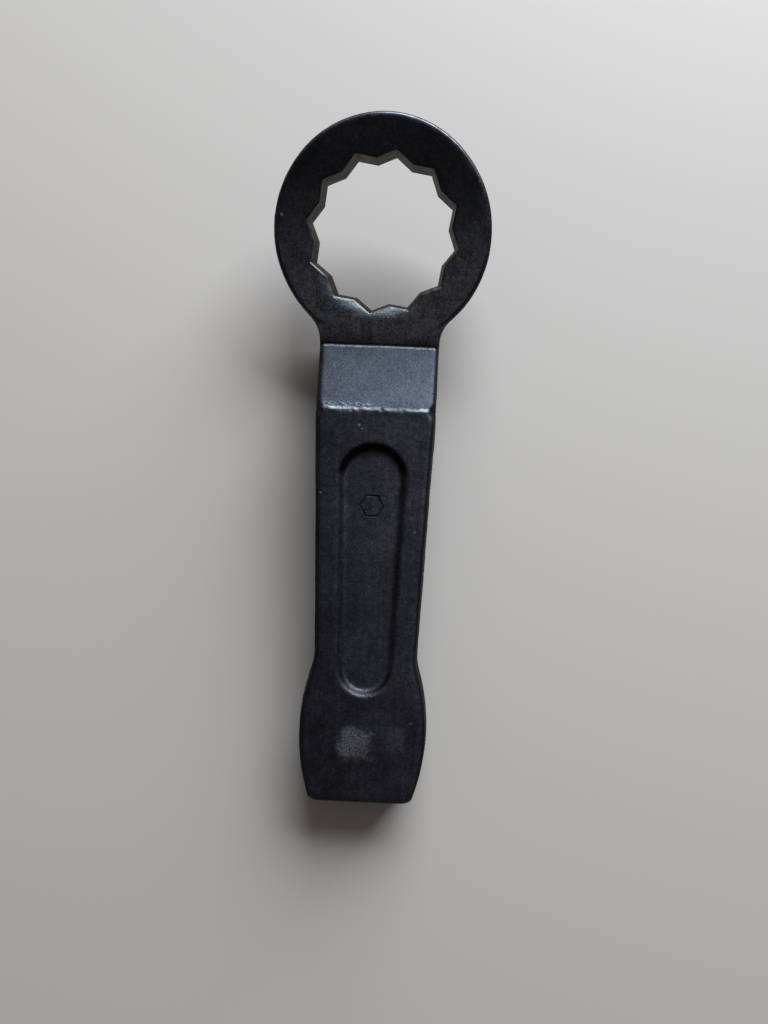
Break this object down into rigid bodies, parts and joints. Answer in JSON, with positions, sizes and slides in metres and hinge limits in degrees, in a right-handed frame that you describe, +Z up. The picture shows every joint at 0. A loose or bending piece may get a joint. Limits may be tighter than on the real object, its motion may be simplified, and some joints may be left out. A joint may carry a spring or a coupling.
{
  "type": "slogging ring spanner",
  "caption": "Forged slogging ring spanner for large hexagon nuts, with a 12-point ring, a cranked neck and a flared block to strike with a hammer.",
  "frame": {"origin": "on the floor that the spanner lies on, at the middle of its length and width", "axes": "+Z up from that floor, +Y from the striking block towards the ring, X across the spanner"},
  "size_m": [0.118, 0.3602, 0.0804],
  "materials": {
    "black_forged_steel": "matt black oxide on forged steel, bare steel inside the opening"
  },
  "bodies": {
    "root": {"spanner_body": "black_forged_steel"}
  },
  "joints": []
}
